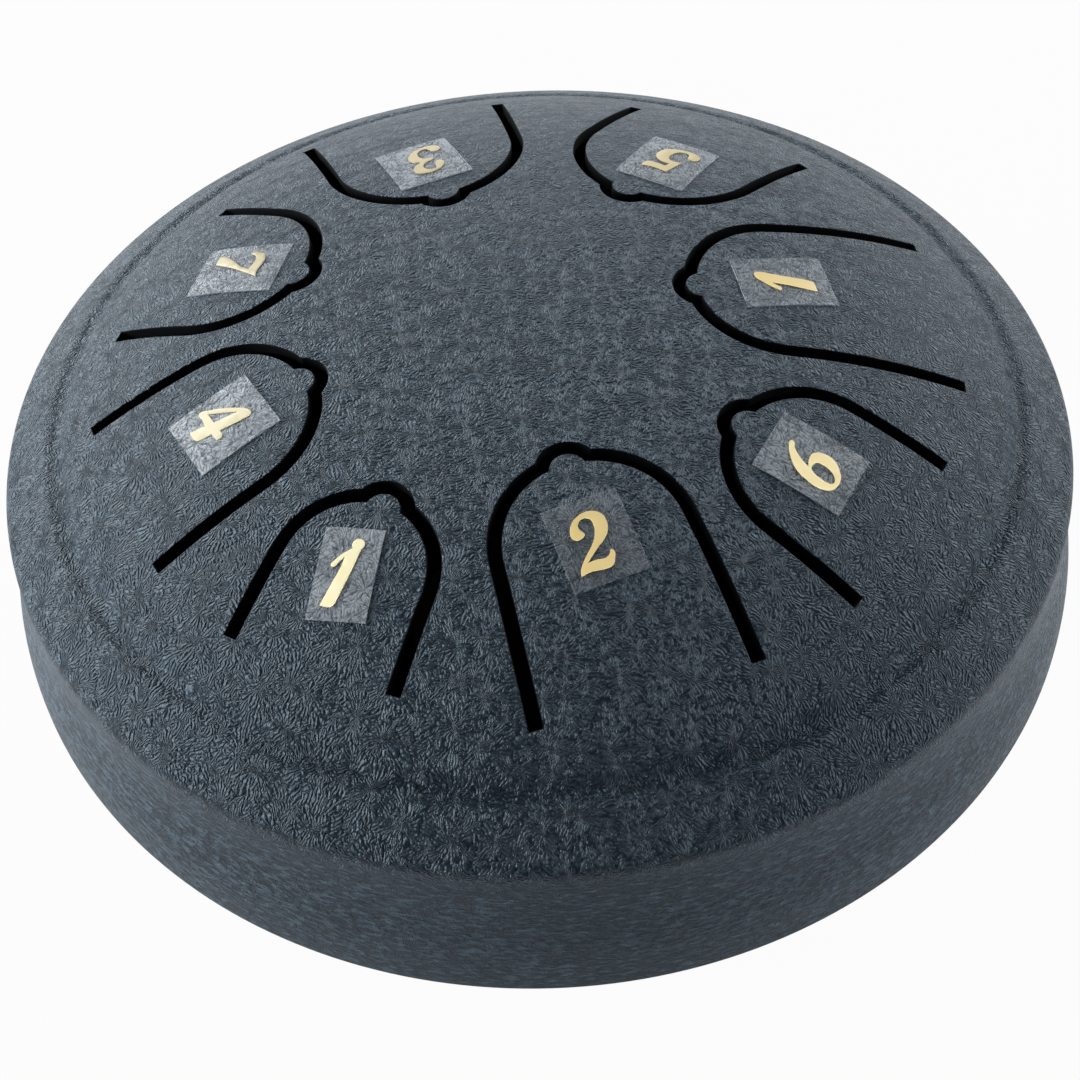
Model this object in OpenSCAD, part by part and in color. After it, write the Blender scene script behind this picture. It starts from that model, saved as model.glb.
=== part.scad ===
/* [Shells] */
// Thickness of the steel sheet of both shells
sheet_t = 1.8; // [1.2:0.1:2.4]
// Radius of the top shell at its shoulder
shoulder_r = 74.8; // [66:0.1:90]
// How far the belt, which laps over the bottom shell, stands out past the shoulder
belt_step = 2.7; // [1.8:0.1:3.4]
// Height of the shoulder above the surface that the drum stands on
shoulder_h = 54; // [50:1:64]
// Height of the crown of the dome above the shoulder
dome_rise = 21; // [19:0.5:24]
// Radius of the flatter middle of the dome, seen from above
crown_edge_r = 28; // [20:1:34]
// Radius of curvature of the middle of the dome
crown_curve_r = 250; // [200:10:400]

/* [Groove and skirt] */
// How far the pressed groove round the dome is set in from the shoulder
groove_set_in = 7.8; // [6:0.1:10]
// Inner bend radius of the two edges of the groove
groove_edge_in_r = 0.4; // [0.3:0.1:1.2]
// Bend radius of the floor of the groove, on the outside
groove_floor_r = 2.4; // [1.8:0.1:3.5]
// Slope of the groove's sides against the dome
groove_slope = 32; // [18:1:34]
// Inner bend radius of the shoulder
shoulder_in_r = 0.3; // [0.1:0.1:1.5]
// Straight height of the skirt just under the shoulder
skirt_straight = 3.8; // [1:0.1:5]
// Slope of the flare that opens the skirt over the bottom shell
flare_slope = 19; // [17:1:26]
// Straight height of the belt
belt_straight = 0.4; // [0.2:0.1:3]
// Inner bend radius of the bottom shell where the lip is curled under it
lip_in_r = 2.3; // [1:0.1:4]
// How far the lip is curled under
lip_curl = 30; // [16:1:34]

/* [Tongues] */
// How far the ring near which all the slots end is set in from the groove
slot_set_in = 10; // [8:0.5:13]
// Width of the slot that frees each tongue
slot_w = 1.7; // [1:0.1:2.2]
// Outward slope of each leg of a slot
leg_flare = 4.6; // [0:0.1:6]
// Radius of the small nub at the tip of each tongue
nub_r = 3.3; // [2.6:0.1:3.8]
// How far the nub stands out of the arch of the tongue
nub_h = 1.6; // [1:0.1:2.2]

/* [Note labels] */
// Length of the longest label along its tongue
label_l = 13; // [9:0.1:14]
// Width of a usual label across its tongue
label_w = 10.5; // [8:0.1:12]
// Thickness of the label film
film_t = 0.15; // [0.08:0.01:0.3]
// Adhesive gap between the film and the steel
film_gap = 0.03; // [0.02:0.01:0.1]

/* [Bottom shell] */
// Gap between the lip of the top shell and the rim of the bottom shell
seam_gap = 0.1; // [0.05:0.01:0.3]
// Height of the flat bottom's outer face above the surface, which is the free height of the feet
base_h = 4; // [3.6:0.1:8]
// How far the bottom shell's wall is turned in at the knuckle under the lip
knuckle_turn = 31; // [24:1:38]
// How far the wall is turned in where it meets the bend round the flat bottom
wall_turn = 38; // [34:1:44]
// Outer bend radius round the flat bottom
base_bend_r = 12; // [8:0.5:14]
// Radius of the sound hole in the middle of the bottom
sound_hole_r = 22; // [15:0.5:26]

/* [Feet] */
// How far the feet are set in from the edge of the flat bottom
foot_set_in = 1.7; // [0.5:0.1:6]
// Radius of a foot where it meets the steel
foot_top_r = 7.5; // [6.5:0.1:9]
// Radius of a foot at the surface
foot_tip_r = 6.5; // [5.8:0.1:6.5]
// Radius of the round on a foot's lower edge
foot_round_r = 1; // [0.4:0.1:1.2]
// Thickness of the rubber between the screw's head and the steel
foot_web = 1.6; // [1.2:0.1:2]
// Diameter of the foot screws
screw_d = 3; // [2:0.5:3.5]
// Diameter of the screw's head
head_d = 6; // [5:0.1:7]
// Height of the screw's head
head_h = 1.6; // [1:0.1:1.8]
// Clearance round the screw in the rubber and the steel
screw_gap = 0.2; // [0.1:0.05:0.3]
// Clearance round the screw's head in its pocket
head_gap = 0.5; // [0.3:0.1:0.8]
// Outer diameter of the washer inside the drum
washer_d = 9; // [7.5:0.5:12]
// Thickness of the washer
washer_t = 0.8; // [0.5:0.1:1.2]
// Width of the nut across its flats
nut_af = 5.5; // [5:0.1:7]
// Height of the nut
nut_h = 2.4; // [1.8:0.1:3.2]
// How far the screw stands out of the nut
screw_out = 1.2; // [0.5:0.1:3]

/* [Hidden] */
$fn = 96;

// One overrun for all cuts
overrun = 2;
// Largest turn between two points of a bend
bend_step = 6;
// Largest turn between two points of the wide, shallow curves
shallow_step = 4;
// Bends wider than this are shallow curves
wide_bend_r = 20 * sheet_t;
// How far a leg of a slot starts inside the edge of its arch
leg_inset = 0.02;
// Directions of the three feet from the centre
foot_angles = [90, 210, 330];
// Gap between a screw and the plain hole that stands for its nut's thread
thread_gap = 0.05;

coat = [0.24, 0.30, 0.35];
film = [0.42, 0.48, 0.52];
rubber = [0.08, 0.08, 0.08];
plated = [0.74, 0.75, 0.76];

// The tongues in the order of their notes, from the low 1 to the high 1.
// Direction of each tip from the centre, with 0 at the right and -90 at the front
tip_angles = [9.2, -83.6, 114.1, -163.5, 60.3, -39.1, 160.2, -122];
// Turn of each tongue about its tip, away from the straight line to the centre
tongue_leans = [-6.4, 9, -10.5, 7.4, -6.7, 4.3, -8.5, 4.6];
// Distance of each tip from the centre, as shares of the pattern's radius
tip_shares = [0.363, 0.442, 0.463, 0.512, 0.472, 0.551, 0.554, 0.6];
// Radius of each tongue's arch, as shares of the pattern's radius
arch_shares = [0.222, 0.218, 0.246, 0.222, 0.24, 0.204, 0.23, 0.183];
// Reach of the slot's legs past the middle of the arch, as shares of the pattern's radius
leg_shares = [0.382, 0.309, 0.27, 0.247, 0.228, 0.198, 0.168, 0.181];
// Length and width of each hand-cut label, as shares of the usual ones
label_l_shares = [0.99, 0.872, 0.955, 0.908, 1.017, 0.925, 0.993, 0.9];
label_w_shares = [0.913, 0.937, 1.045, 1.017, 1.001, 0.932, 0.96, 0.727];
// Place of each label along and across its tongue from the middle of the arch, as shares of label_l
label_along_shares = [0.017, -0.025, -0.259, -0.023, -0.203, -0.089, -0.202, 0.015];
label_across_shares = [0.053, -0.007, 0.063, 0.02, -0.074, 0.004, 0.035, -0.036];
// Turn of each label on its tongue
label_turns = [6, 3.3, 7.3, 6, 5.4, 3.2, 11.4, 14];

// A shell's outline is a chain of bends, each with its radius, the direction of the outward
// normal where it ends, and a straight run after it. The normal's direction is 0 straight up,
// 90 outwards and 180 straight down, and a negative radius bends the other way.
function normal(a) = [sin(a), cos(a)];
function onward(a) = [cos(a), -sin(a)];
function step_of(rad) = abs(rad) > wide_bend_r ? shallow_step : bend_step;
function bend(c, rad, a, b) =
    let (n = max(1, ceil(abs(b - a) / step_of(rad))))
    [for (i = [1:n]) let (t = a + (b - a) * i / n) [c + rad * normal(t), t]];
function chain(p, a, bends, i = 0) =
    i == len(bends) ? [] :
    let (rad = bends[i][0], b = bends[i][1], run = bends[i][2],
         c = p - rad * normal(a),
         q = c + rad * normal(b),
         e = q + run * onward(b))
    concat(bend(c, rad, a, b), run > 0 ? [[e, b]] : [], chain(e, b, bends, i + 1));
function face(points, depth) = [for (p = points) p[0] - depth * normal(p[1])];
function back(list) = [for (i = [len(list) - 1:-1:0]) list[i]];

// Top shell
belt_r = shoulder_r + belt_step;
groove_r = shoulder_r - groove_set_in;
pattern_r = groove_r - slot_set_in;
groove_edge_r = sheet_t + groove_edge_in_r;
shoulder_bend_r = sheet_t + shoulder_in_r;
lip_bend_r = 2 * sheet_t + seam_gap + lip_in_r;
apex_h = shoulder_h + dome_rise;
apex = [0, apex_h];
crown_end = asin(crown_edge_r / crown_curve_r);
groove_half = (groove_edge_r + groove_floor_r) * sin(groove_slope);
// The flank's bend radius brings the dome down to the shoulder's bend in one curve
crown_drop = crown_curve_r * (1 - cos(crown_end));
flank_drop = dome_rise - crown_drop - shoulder_bend_r / 2;
flank_run = shoulder_r - crown_edge_r - shoulder_bend_r / 2;
flank_end = 2 * atan(flank_drop / flank_run) - crown_end;
flank_curve_r = flank_run / (sin(flank_end) - sin(crown_end));
groove_turn = asin(sin(crown_end) + (groove_r - groove_half - crown_edge_r) / flank_curve_r);
dome_bends = [
    [crown_curve_r, crown_end, 0],
    [flank_curve_r, groove_turn, 0]];
dome_points = concat([[apex, 0]], chain(apex, 0, dome_bends));
groove_start = dome_points[len(dome_points) - 1][0];
groove_bends = [
    [groove_edge_r, groove_turn + groove_slope, 0],
    [-groove_floor_r, groove_turn - groove_slope, 0],
    [groove_edge_r, groove_turn, 0]];
groove_points = chain(groove_start, groove_turn, groove_bends);
rim_start = groove_points[len(groove_points) - 1][0];
// The rim goes on from the groove until the shoulder's bend can finish it at the shoulder's radius
rim_end = rim_turn(groove_turn, rim_start[0]);
function rim_turn(a, r) =
    let (reach = r + flank_curve_r * (sin(a + 1) - sin(a)))
    reach + shoulder_bend_r * (1 - sin(a + 1)) >= shoulder_r ? a : rim_turn(a + 1, reach);
rim_reach = rim_start[0] + flank_curve_r * (sin(rim_end) - sin(groove_turn));
shoulder_left = (shoulder_r - rim_reach - shoulder_bend_r * (1 - sin(rim_end))) / cos(rim_end);
rim_points = chain(rim_start, groove_turn, [
    [flank_curve_r, rim_end, shoulder_left],
    [shoulder_bend_r, 90, skirt_straight]]);
skirt_start = rim_points[len(rim_points) - 1][0];
flare_bend_r = (belt_r - shoulder_r) / 2 / (1 - cos(flare_slope));
skirt_points = chain(skirt_start, 90, [
    [-flare_bend_r, 90 - flare_slope, 0],
    [flare_bend_r, 90, belt_straight],
    [lip_bend_r, 90 + lip_curl, 0]]);
flare_end_h = skirt_start[1] - 2 * flare_bend_r * sin(flare_slope);
belt_end_h = flare_end_h - belt_straight;
top_points = concat(dome_points, groove_points, rim_points, skirt_points);

// Bottom shell, from the top of its rim to the flat bottom
rim_r = belt_r - sheet_t - seam_gap;
knuckle_r = lip_bend_r - sheet_t - seam_gap;
// The rim stops short of the place where the flare's inner face would meet it
rim_over = 0.8 * sqrt(2 * (flare_bend_r - sheet_t) * seam_gap);
knuckle_end = 90 + knuckle_turn;
wall_end = 90 + wall_turn;
wall_drop = belt_end_h + knuckle_r * cos(knuckle_end) - base_bend_r * (1 + cos(wall_end)) - base_h;
wall_curve_r = wall_drop / (cos(knuckle_end) - cos(wall_end));
bottom_start = [rim_r, flare_end_h + rim_over];
bottom_points = concat(
    [[bottom_start, 90], [[rim_r, belt_end_h], 90]],
    chain([rim_r, belt_end_h], 90, [
        [knuckle_r, knuckle_end, 0],
        [wall_curve_r, wall_end, 0],
        [base_bend_r, 180, 0]]));
flat_r = bottom_points[len(bottom_points) - 1][0][0];
foot_ring_r = flat_r - foot_top_r - foot_set_in;

// Feet and their fasteners
inner_base_h = base_h + sheet_t;
hole_r = screw_d / 2 + screw_gap;
pocket_r = head_d / 2 + head_gap;
head_top_h = base_h - foot_web;
washer_h = inner_base_h + washer_t;
nut_top_h = washer_h + nut_h;
screw_top_h = nut_top_h + screw_out;

// One side of the sheet joined to the other makes the section that is spun round
module sheet(points) {
    rotate_extrude()
        polygon(concat(face(points, 0), back(face(points, sheet_t))));
}

// Centre of a tongue's arch, and its own axes
function axis_of(i) = tip_angles[i] + tongue_leans[i];
function arch_r(i) = arch_shares[i] * pattern_r;
function tip_at(i) = tip_shares[i] * pattern_r * [cos(tip_angles[i]), sin(tip_angles[i])];
function arch_at(i) = tip_at(i) + (arch_r(i) + nub_h) * [cos(axis_of(i)), sin(axis_of(i))];
module on_tongue(i) {
    translate(arch_at(i)) rotate(axis_of(i)) children();
}

// Point on a leg of the slot. The leg starts a little inside the arch, so that it crosses the arch's edge
function leg_run(i) =
    (leg_shares[i] * pattern_r + arch_r(i) * sin(leg_flare)) / cos(leg_flare) + slot_w / 2;
function leg_at(i, grow, run) =
    (arch_r(i) + grow - leg_inset) * [-sin(leg_flare), cos(leg_flare)]
    + run * [cos(leg_flare), sin(leg_flare)];
function over(p) = [p[0], -p[1]];

// The outline of a tongue, grown or shrunk by half the slot, up to the ends of its legs or past them
module tongue_shape(i, grow, past) {
    start = leg_at(i, grow, 0);
    stop = leg_at(i, grow, leg_run(i) + past);
    reach = arch_r(i) + grow + overrun;
    // Only the half of the circle on the tip's side belongs to the arch
    intersection() {
        circle(r = arch_r(i) + grow);
        translate([-reach, -reach]) square([reach, 2 * reach]);
    }
    translate([nub_r - arch_r(i) - nub_h, 0]) circle(r = nub_r + grow);
    polygon([start, stop, over(stop), over(start)]);
}

module tongue_slot(i) {
    on_tongue(i)
        difference() {
            tongue_shape(i, slot_w / 2, 0);
            tongue_shape(i, -slot_w / 2, overrun);
        }
}

module top_shell() {
    color(coat)
        difference() {
            sheet(top_points);
            for (i = [0:len(tip_angles) - 1])
                translate([0, 0, shoulder_h])
                    linear_extrude(dome_rise + overrun) tongue_slot(i);
        }
}

module at_foot(i) {
    rotate(foot_angles[i]) translate([foot_ring_r, 0, 0]) children();
}

module on_feet() {
    for (i = [0:len(foot_angles) - 1])
        at_foot(i) children();
}

module bottom_shell() {
    color(coat)
        difference() {
            rotate_extrude()
                polygon(concat(
                    face(bottom_points, 0), [[0, base_h], [0, inner_base_h]],
                    back(face(bottom_points, sheet_t))));
            translate([0, 0, base_h - overrun]) cylinder(r = sound_hole_r, h = sheet_t + 2 * overrun);
            on_feet() translate([0, 0, base_h - overrun]) cylinder(r = hole_r, h = sheet_t + 2 * overrun);
        }
}

// A label is the patch of a thin skin over the dome that its cut outline takes out
module note_label(i) {
    color(film)
        intersection() {
            rotate_extrude()
                polygon(concat(
                    face(dome_points, -film_gap - film_t), back(face(dome_points, -film_gap))));
            translate([0, 0, shoulder_h])
                linear_extrude(dome_rise + overrun)
                    on_tongue(i)
                        translate([label_along_shares[i] * label_l, label_across_shares[i] * label_l])
                            rotate(label_turns[i])
                                square([label_l_shares[i] * label_l, label_w_shares[i] * label_w],
                                       center = true);
        }
}

module rubber_foot(i) {
    // The lower edge is rounded, and the sides widen towards the steel
    edge = [for (a = [0:30:90]) [foot_tip_r - foot_round_r * (1 - sin(a)), foot_round_r * (1 - cos(a))]];
    color(rubber)
        at_foot(i)
            difference() {
                rotate_extrude()
                    polygon(concat([[0, 0]], edge, [[foot_top_r, base_h], [0, base_h]]));
                translate([0, 0, -overrun]) cylinder(r = pocket_r, h = head_top_h + overrun);
                translate([0, 0, -overrun]) cylinder(r = hole_r, h = base_h + 2 * overrun);
            }
}

module foot_screws() {
    color(plated)
        on_feet() {
            translate([0, 0, head_top_h - head_h]) cylinder(d = head_d, h = head_h);
            translate([0, 0, head_top_h]) cylinder(d = screw_d, h = screw_top_h - head_top_h);
        }
}

module foot_washers() {
    color(plated)
        on_feet()
            translate([0, 0, inner_base_h])
                difference() {
                    cylinder(d = washer_d, h = washer_t);
                    translate([0, 0, -overrun]) cylinder(r = hole_r, h = washer_t + 2 * overrun);
                }
}

module foot_nuts() {
    color(plated)
        on_feet()
            translate([0, 0, washer_h])
                difference() {
                    cylinder(d = nut_af / cos(30), h = nut_h, $fn = 6);
                    translate([0, 0, -overrun])
                        cylinder(d = screw_d + 2 * thread_gap, h = nut_h + 2 * overrun);
                }
}

top_shell();
bottom_shell();
note_label(0);  // note_label_low_1
note_label(1);  // note_label_2
note_label(2);  // note_label_3
note_label(3);  // note_label_4
note_label(4);  // note_label_5
note_label(5);  // note_label_6
note_label(6);  // note_label_7
note_label(7);  // note_label_high_1
rubber_foot(0);  // rubber_foot_back
rubber_foot(1);  // rubber_foot_left
rubber_foot(2);  // rubber_foot_right
foot_screws();
foot_washers();
foot_nuts();
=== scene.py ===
import math

import bpy
from bpy.props import FloatProperty, FloatVectorProperty, IntProperty, PointerProperty
from mathutils import Matrix, Vector


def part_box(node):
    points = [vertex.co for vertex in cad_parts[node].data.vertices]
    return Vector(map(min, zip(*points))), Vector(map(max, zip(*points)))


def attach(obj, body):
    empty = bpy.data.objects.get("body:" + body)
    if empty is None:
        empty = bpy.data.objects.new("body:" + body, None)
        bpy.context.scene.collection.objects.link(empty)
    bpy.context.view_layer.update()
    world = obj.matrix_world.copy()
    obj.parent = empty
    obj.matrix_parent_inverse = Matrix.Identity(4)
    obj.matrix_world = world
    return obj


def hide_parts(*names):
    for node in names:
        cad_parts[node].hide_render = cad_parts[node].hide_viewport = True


bl_info = {
    "name": "Steel Tongue Drum",
    "version": (1, 0, 0),
    "blender": (4, 5, 0),
    "location": "3D Viewport > Sidebar > Tongue Drum",
    "description": "Dresses the packed tongue drum with its pressed shells, coat, "
                   "note labels and feet",
    "category": "Add Mesh",
}

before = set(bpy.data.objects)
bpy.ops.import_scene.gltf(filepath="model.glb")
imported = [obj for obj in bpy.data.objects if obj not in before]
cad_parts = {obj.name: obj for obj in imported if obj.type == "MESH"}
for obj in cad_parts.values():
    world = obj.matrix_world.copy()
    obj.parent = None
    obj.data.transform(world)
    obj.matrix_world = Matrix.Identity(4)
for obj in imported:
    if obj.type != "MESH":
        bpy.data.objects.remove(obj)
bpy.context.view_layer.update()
MM = 0.001
UPRIGHT = math.pi / 2

# Tongues in the order of their notes: node, direction of the tip, turn about the tip,
# distance of the tip, radius of the arch and reach of the legs, the last three in millimetres
TONGUES = [
    ("note_label_low_1", 9.2, -6.4, 20.69, 12.65, 21.77),
    ("note_label_2", -83.6, 9.0, 25.19, 12.43, 17.61),
    ("note_label_3", 114.1, -10.5, 26.39, 14.02, 15.39),
    ("note_label_4", -163.5, 7.4, 29.18, 12.65, 14.08),
    ("note_label_5", 60.3, -6.7, 26.90, 13.68, 13.00),
    ("note_label_6", -39.1, 4.3, 31.41, 11.63, 11.29),
    ("note_label_7", 160.2, -8.5, 31.58, 13.11, 9.58),
    ("note_label_high_1", -122.0, 4.6, 34.20, 10.43, 10.32),
]
# Labels in the same order: length, width, place along and across the tongue in millimetres,
# and turn
LABELS = [
    (12.87, 9.59, 0.22, 0.69, 6.0),
    (11.34, 9.84, -0.32, -0.09, 3.3),
    (12.42, 10.97, -3.37, 0.82, 7.3),
    (11.80, 10.68, -0.30, 0.26, 6.0),
    (13.22, 10.51, -2.64, -0.96, 5.4),
    (12.03, 9.79, -1.16, 0.05, 3.2),
    (12.91, 10.08, -2.63, 0.46, 11.4),
    (11.70, 7.63, 0.20, -0.47, 14.0),
]
# How milky each label looks, from clear film to frosted film: partly the film's own frost,
# partly painted reflection on the labels that face the light
HAZES_WITH_PAINTED_REFLECTION = [0.47, 0.28, 0.56, 0.78, 0.55, 0.75, 0.44, 0.88]
# How pale and how bright the gold of each number is painted: partly the ink's own tone,
# partly painted highlight and shade for how much light each number catches
INKS_WITH_PAINTED_LIGHT = [(0.05, 0.94), (0.0, 0.76), (0.45, 0.60), (0.9, 0.70), (0.4, 0.74), (0.5, 1.0),
        (0.6, 0.54), (1.0, 0.92)]
# Soft lamps round the drum, mostly behind it and at its left: name, share of the power, size, place
LAMPS = [
    ("lamp_back_low", 0.049, 0.40, (0.0, 0.88, 0.20)),
    ("lamp_back_left", 0.236, 0.60, (-0.62, 0.62, 0.45)),
    ("lamp_back_left_low", 0.088, 0.40, (-0.64, 0.64, 0.20)),
    ("lamp_back_right", 0.105, 0.60, (0.62, 0.62, 0.45)),
    ("lamp_back_right_low", 0.070, 0.40, (0.64, 0.64, 0.20)),
    ("lamp_left_low", 0.319, 0.40, (-0.90, 0.0, 0.20)),
    ("lamp_right_low", 0.133, 0.40, (0.90, 0.0, 0.20)),
]
LAMPS_AIM = (0.0, 0.0, 0.05)
# The collection that the lamp for the gold shines on
PRINTED = "printed_numbers"
WHITE = (1.0, 1.0, 1.0, 1.0)
# The camera's right hand and its line of sight
CAMERA_RIGHT = (0.9984, -0.0430, -0.0376)
CAMERA_AHEAD = (-0.0015, 0.6383, -0.7698)
FOOT_NODES = ["rubber_foot_back", "rubber_foot_left", "rubber_foot_right"]
FOOT_TURNS = [90.0, 210.0, 330.0]
# Spacing of the points along the outer and the inner face of a shell and along a slot, and the
# largest turn between two points
OUTER_SPACING, INNER_SPACING, SLOT_SPACING = 1.1 * MM, 2.0 * MM, 0.45 * MM
COARSEST_TURN = math.radians(7)
# Points that lie closer than this are one point
SAME_POINT = 0.001 * MM
# Half the height of the solid that cuts a slot
SLOT_REACH = 4 * MM
# Width of the ring of faces along the edge of the plate
PLATE_MARGIN = 0.8 * MM
# The flow of the coat down the wall starts this far above the shoulder
ABOVE_FOLD = 1 * MM
# Room round the screws in their holes
SCREW_ROOM = 0.2 * MM
# A height inside the drum from which all its inner faces are seen
DRUM_MIDDLE = 33 * MM


def length(name, description, default):
    return FloatProperty(name=name, description=description, default=default * MM,
                         subtype="DISTANCE", unit="LENGTH", precision=5)


def angle(name, description, default):
    return FloatProperty(name=name, description=description, default=math.radians(default),
                         subtype="ANGLE", unit="ROTATION")


def colour(name, description, default):
    return FloatVectorProperty(name=name, description=description, default=default,
                               subtype="COLOR", size=3, min=0.0, max=1.0)


def number(name, description, default):
    return FloatProperty(name=name, description=description, default=default)


class ShellSizes(bpy.types.PropertyGroup):
    """Sizes of the two pressed shells."""
    sheet: length("Sheet", "Thickness of the steel sheet", 1.8)
    shoulder_radius: length("Shoulder radius", "Radius of the top shell at its shoulder", 74.8)
    belt_step: length("Belt step", "How far the belt stands out past the shoulder", 2.7)
    shoulder_height: length("Shoulder height", "Height of the shoulder above the floor", 54.0)
    dome_rise: length("Dome rise", "Height of the crown above the shoulder", 21.0)
    crown_edge: length("Crown edge", "Radius of the flatter middle of the dome", 28.0)
    crown_bend: length("Crown bend", "Radius of curvature of the middle of the dome", 250.0)
    groove_set_in: length("Groove set-in", "How far the groove is set in from the shoulder", 7.8)
    groove_edge_bend: length("Groove edges", "Bend radius of the groove's edges", 2.2)
    groove_floor_bend: length("Groove floor", "Bend radius of the groove's floor", 2.4)
    groove_slope: angle("Groove slope", "Slope of the groove's sides against the dome", 32.0)
    shoulder_bend: length("Shoulder bend", "Outer bend radius of the shoulder", 2.1)
    skirt_straight: length("Skirt straight", "Straight height under the shoulder", 3.8)
    flare_slope: angle("Flare slope", "Slope of the flare of the skirt", 19.0)
    belt_straight: length("Belt straight", "Straight height of the belt", 0.4)
    lip_bend: length("Lip bend", "Outer bend radius of the curled lip", 6.0)
    lip_curl: angle("Lip curl", "How far the lip is curled under", 30.0)
    seam_gap: length("Seam gap", "Gap between the lip and the bottom shell's rim", 0.1)
    base_height: length("Base height", "Height of the flat bottom above the floor", 4.0)
    knuckle_turn: angle("Knuckle turn", "How far the bottom shell turns in under the lip", 31.0)
    wall_turn: angle("Wall turn", "How far the bottom shell's wall is turned in lower down", 38.0)
    base_bend: length("Base bend", "Outer bend radius round the flat bottom", 12.0)
    sound_hole_radius: length("Sound hole", "Radius of the sound hole", 22.0)
    edge_round: length("Edge round", "Rounding of the coated edges", 0.22)
    segments: IntProperty(name="Segments", description="Steps of the spun shells",
                          default=256, min=64, max=512)


class SlotSizes(bpy.types.PropertyGroup):
    """Sizes of the slots that free the tongues."""
    width: length("Slot width", "Width of the slots", 1.7)
    leg_flare: angle("Leg flare", "Outward slope of the legs", 4.6)
    nub_radius: length("Nub radius", "Radius of the nub at each tip", 3.3)
    nub_height: length("Nub height", "How far the nub stands out of the arch", 1.6)
    plate_radius: length("Plate radius", "Radius of the plate that the slots are cut in", 62.0)
    grid: length("Grid", "Spacing of the cuts that let the plate follow the dome", 1.55)


class CoatLooks(bpy.types.PropertyGroup):
    """Looks of the frost-flower powder coat."""
    # Painted shade: the hollows' colour is darker than the ridges' on top of the bump relief
    dark: colour("Hollows", "Colour between the ridges of the coat", (0.0144, 0.0247, 0.0370))
    pale: colour("Ridges", "Colour on the ridges of the coat", (0.097, 0.150, 0.203))
    flower: length("Flower size", "Spacing of the frost flowers", 5.3)
    streak: length("Streak width", "Width of a streak with its hollow", 0.54)
    streak_length: length("Streak length", "Length of the short streaks", 1.85)
    relief: length("Relief", "Height of the ridges", 0.22)
    bend: number("Bend", "How much the streaks bend on their way", 3.0)
    squeeze: number("Squeeze", "How much flatter than wide the flecks on the wall are", 3.4)
    roughness: number("Roughness", "Roughness of the coat", 0.42)
    sheen: number("Sheen", "Strength of the coat's shine", 0.50)


class LabelLooks(bpy.types.PropertyGroup):
    """Sizes and looks of the note labels."""
    film: length("Film", "Thickness of the film", 0.13)
    film_gap: length("Adhesive", "Gap between the film and the coat", 0.03)
    # Painted reflection: the milky parts' colour stands partly for the light the film reflects
    film_colour: colour("Film colour", "Colour of the milky parts of the film", (0.52, 0.59, 0.65))
    gold: colour("Gold", "Colour of the printed numbers", (1.0, 0.79, 0.36))
    # Partly painted highlight: numbers that catch the light are painted nearer this paler gold
    pale_gold_and_highlight: colour("Pale gold", "Colour of the numbers that catch the light", (1.0, 0.93, 0.62))
    number_height: length("Number height", "Height of the numbers", 7.6)
    foil: length("Foil", "Thickness of the numbers' foil", 0.12)
    foil_edge: length("Foil edge", "Rounding of the foil's edges", 0.05)


class FootSizes(bpy.types.PropertyGroup):
    """Sizes of the feet and their fasteners."""
    ring: length("Foot ring", "Radius of the ring of feet", 40.76)
    top_radius: length("Foot top", "Radius of a foot at the steel", 7.5)
    tip_radius: length("Foot tip", "Radius of a foot at the floor", 6.5)
    web: length("Web", "Thickness of rubber under the screw's head", 1.6)
    screw: length("Screw", "Diameter of the screws", 3.0)
    head: length("Head", "Diameter of the screws' heads", 6.0)
    head_height: length("Head height", "Height of the screws' heads", 1.6)
    washer: length("Washer", "Outer diameter of the washers", 9.0)
    washer_height: length("Washer height", "Thickness of the washers", 0.8)
    nut: length("Nut", "Width of the nuts across their flats", 5.5)
    nut_height: length("Nut height", "Height of the nuts", 2.4)
    screw_out: length("Screw end", "How far the screws stand out of the nuts", 1.2)


class StageLooks(bpy.types.PropertyGroup):
    """The camera and the light."""
    camera_back: length("Camera back", "Distance of the camera in front of the drum's middle",
                        174.53)
    camera_up: length("Camera up", "Height of the camera above the shoulder", 182.40)
    lens: number("Lens", "Focal length in millimetres on a 36 mm sensor", 58.83)
    floor: colour("Floor", "Colour of the floor", (0.50, 0.50, 0.50))
    sky: number("Sky", "Strength of the even light from all round", 0.10)
    lamps: number("Lamps", "Power of all the soft lamps together", 21.4)
    glint: number("Glint", "Power of the lamp that makes the printed gold shine", 5.6)


# Outline of a shell: the outward normal at a turn, 0 up and 90 outwards, and the way along the
# outline
def normal(turn):
    return Vector((math.sin(turn), math.cos(turn)))


def onward(turn):
    return Vector((math.cos(turn), -math.sin(turn)))


# Seen from above: the way of a turn, and the way across it
def direction(turn):
    return Vector((math.cos(turn), math.sin(turn)))


def across(way):
    return Vector((-way.y, way.x))


def ring_places(feet, height=0.0):
    """The place and the turn of each foot on the ring of feet."""
    return [((feet.ring * math.cos(turn), feet.ring * math.sin(turn), height), turn)
            for turn in map(math.radians, FOOT_TURNS)]


def flare_bend(s):
    """Bend radius of the flare, whose two bends make up the belt's step."""
    return s.belt_step / 2 / (1 - math.cos(s.flare_slope))


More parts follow.
